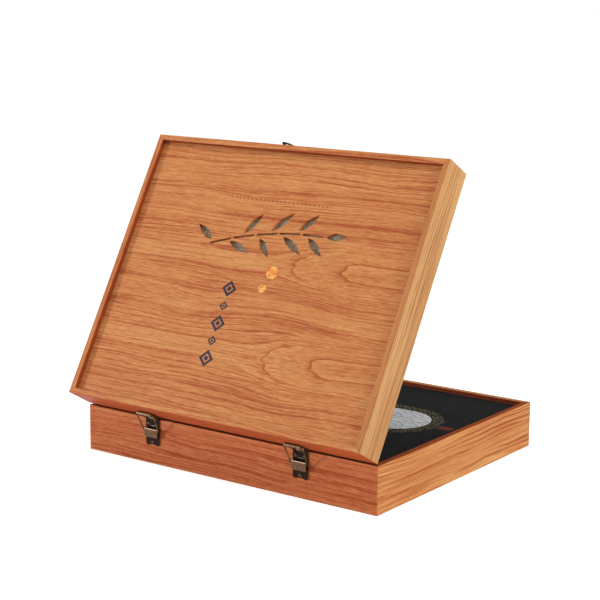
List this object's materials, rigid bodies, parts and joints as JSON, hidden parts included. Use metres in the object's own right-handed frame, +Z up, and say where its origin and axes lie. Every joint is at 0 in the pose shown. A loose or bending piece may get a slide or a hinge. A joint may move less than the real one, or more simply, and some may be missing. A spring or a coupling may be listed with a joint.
{
  "type": "hinged box",
  "caption": "Shallow hinged wooden box with a recessed, cut-out lid panel, sprung bow hinges, a swing hook latch and a lift-out cover board, standing open.",
  "frame": {"origin": "centre of the underside of the base", "axes": "+X along the long side, +Y from the hinge wall to the latch wall, +Z up"},
  "size_m": [0.35, 0.3189, 0.3155],
  "materials": {
    "veneer": "satin lacquered straight-grained wood veneer on 6 mm board",
    "veneer_panel": "satin lacquered crown-cut wood veneer",
    "raw_board": "unfinished fibreboard",
    "cover_black": null,
    "linen": "natural linen glued over fibreboard",
    "orange_inlay": "satin orange",
    "antique_brass": "antiqued brass plate, rubbed bright at the edges",
    "bright_wire": "antiqued brass-plated spring wire"
  },
  "bodies": {
    "base": {"base_back_wall": "veneer", "base_bottom_board": "raw_board", "base_front_wall": "veneer", "base_left_wall": "veneer", "base_right_wall": "veneer", "cover_ledge_back": "raw_board", "cover_ledge_front": "raw_board", "cover_ledge_left": "raw_board", "cover_ledge_right": "raw_board", "hinge_left_lower_leaf": "antique_brass", "hinge_left_lower_screw_1": "antique_brass", "hinge_left_lower_screw_2": "antique_brass", "hinge_left_lower_screw_3": "antique_brass", "hinge_left_pin": "antique_brass", "hinge_right_lower_leaf": "antique_brass", "hinge_right_lower_screw_1": "antique_brass", "hinge_right_lower_screw_2": "antique_brass", "hinge_right_lower_screw_3": "antique_brass", "hinge_right_pin": "antique_brass", "latch_stud": "antique_brass", "latch_stud_plate": "antique_brass", "latch_stud_screw_1": "antique_brass", "latch_stud_screw_2": "antique_brass"},
    "lid": {"hinge_left_upper_leaf": "antique_brass", "hinge_left_upper_screw_1": "antique_brass", "hinge_left_upper_screw_2": "antique_brass", "hinge_right_upper_leaf": "antique_brass", "hinge_right_upper_screw_1": "antique_brass", "hinge_right_upper_screw_2": "antique_brass", "inlay_large": "orange_inlay", "inlay_small": "orange_inlay", "latch_hook_plate": "antique_brass", "latch_hook_screw_1": "antique_brass", "latch_hook_screw_2": "antique_brass", "latch_rivet": "antique_brass", "lid_back_wall": "veneer", "lid_backing_board": "linen", "lid_front_wall": "veneer", "lid_left_wall": "veneer", "lid_panel": "veneer_panel", "lid_right_wall": "veneer"},
    "bow_left": {"hinge_left_bow": "bright_wire"},
    "bow_right": {"hinge_right_bow": "bright_wire"},
    "clip_left": {"hinge_left_clip": "antique_brass"},
    "clip_right": {"hinge_right_clip": "antique_brass"},
    "latch_hook": {"latch_hook": "antique_brass"},
    "cover_board": {"cover_board": "cover_black"}
  },
  "joints": [
    {"name": "lid_hinge", "type": "hinge", "parent": "base", "child": "lid", "pos_m": [0, -0.1442, 0.0476], "axis": [1, 0, 0], "range_deg": [-60, 10]},
    {"name": "bow_left_turn", "type": "hinge", "parent": "lid", "child": "bow_left", "pos_m": [-0.09, -0.15535, 0.05369], "axis": [1, 0, 0], "range_deg": [-6, 34.3]},
    {"name": "bow_right_turn", "type": "hinge", "parent": "lid", "child": "bow_right", "pos_m": [0.09, -0.15535, 0.05369], "axis": [1, 0, 0], "range_deg": [-6, 34.3]},
    {"name": "clip_left_slide", "type": "slide", "parent": "base", "child": "clip_left", "axis": [0, 0, 1], "range_m": [-0.0009, 0.0047]},
    {"name": "clip_right_slide", "type": "slide", "parent": "base", "child": "clip_right", "axis": [0, 0, 1], "range_m": [-0.0009, 0.0047]},
    {"name": "latch_hook_turn", "type": "hinge", "parent": "lid", "child": "latch_hook", "pos_m": [0.006, -0.01359, 0.30561], "axis": [0, 0.5, 0.866], "range_deg": [-125, 40]},
    {"name": "cover_board_lift", "type": "slide", "parent": "base", "child": "cover_board", "axis": [0, 0, 1], "range_m": [0, 0.012]}
  ],
  "couplings": [
    {"joint": "bow_left_turn", "follows": "lid_hinge", "ratio": -0.565},
    {"joint": "bow_right_turn", "follows": "lid_hinge", "ratio": -0.565},
    {"joint": "clip_left_slide", "follows": "lid_hinge", "m_per_rad": -0.004365},
    {"joint": "clip_right_slide", "follows": "lid_hinge", "m_per_rad": -0.004365}
  ]
}
